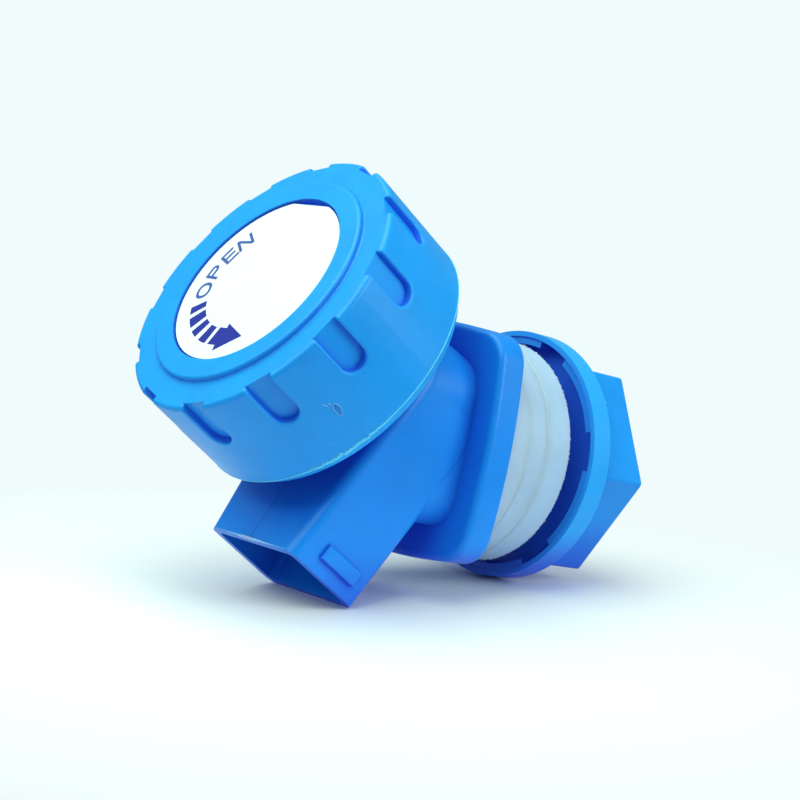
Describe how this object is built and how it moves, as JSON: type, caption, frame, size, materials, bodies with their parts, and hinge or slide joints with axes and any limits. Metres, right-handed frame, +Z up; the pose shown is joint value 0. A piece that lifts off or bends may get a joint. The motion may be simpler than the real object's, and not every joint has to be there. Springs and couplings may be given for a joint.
{
  "type": "bottle tap",
  "caption": "Turn-knob plastic tap with a rectangular spout, a threaded shank, three sealing washers and a cupped hex nut.",
  "frame": {"origin": "centre of the flange's sealing face, on the axis of the threaded shank", "axes": "+Z up as the tap hangs on a container, +Y along the shank into the container, +X to the right seen from inside the container's front, across the tap's plane of symmetry"},
  "size_m": [0.0528, 0.0941, 0.0733],
  "materials": {
    "blue_plastic": "satin moulded polypropylene",
    "white_label": "printed gloss disc",
    "milky_silicone": "translucent milky silicone",
    "grey_rubber": "matt sealing rubber",
    "screw_steel": "plain stainless steel"
  },
  "bodies": {
    "tap": {"tap_body": "blue_plastic", "inner_washer_1": "milky_silicone", "inner_washer_2": "milky_silicone", "outer_washer": "milky_silicone"},
    "plunger": {"plunger": "blue_plastic", "seal_disc": "grey_rubber", "plunger_o_ring": "grey_rubber", "knob_screw": "screw_steel"},
    "knob": {"knob": "blue_plastic", "knob_label": "white_label"},
    "nut": {"clamp_nut": "blue_plastic"}
  },
  "joints": [
    {"name": "plunger_lift", "type": "slide", "parent": "tap", "child": "plunger", "axis": [0, -0.8796, 0.4756], "range_m": [0, 0.006]},
    {"name": "knob_turn", "type": "hinge", "parent": "plunger", "child": "knob", "pos_m": [0, -0.02468, 0.00953], "axis": [0, -0.8796, 0.4756], "range_deg": [0, 180]},
    {"name": "nut_travel", "type": "slide", "parent": "tap", "child": "nut", "axis": [0, 1, 0], "range_m": [-0.0065, 0.0155]}
  ],
  "couplings": [
    {"joint": "plunger_lift", "follows": "knob_turn", "m_per_rad": 0.0019099}
  ]
}
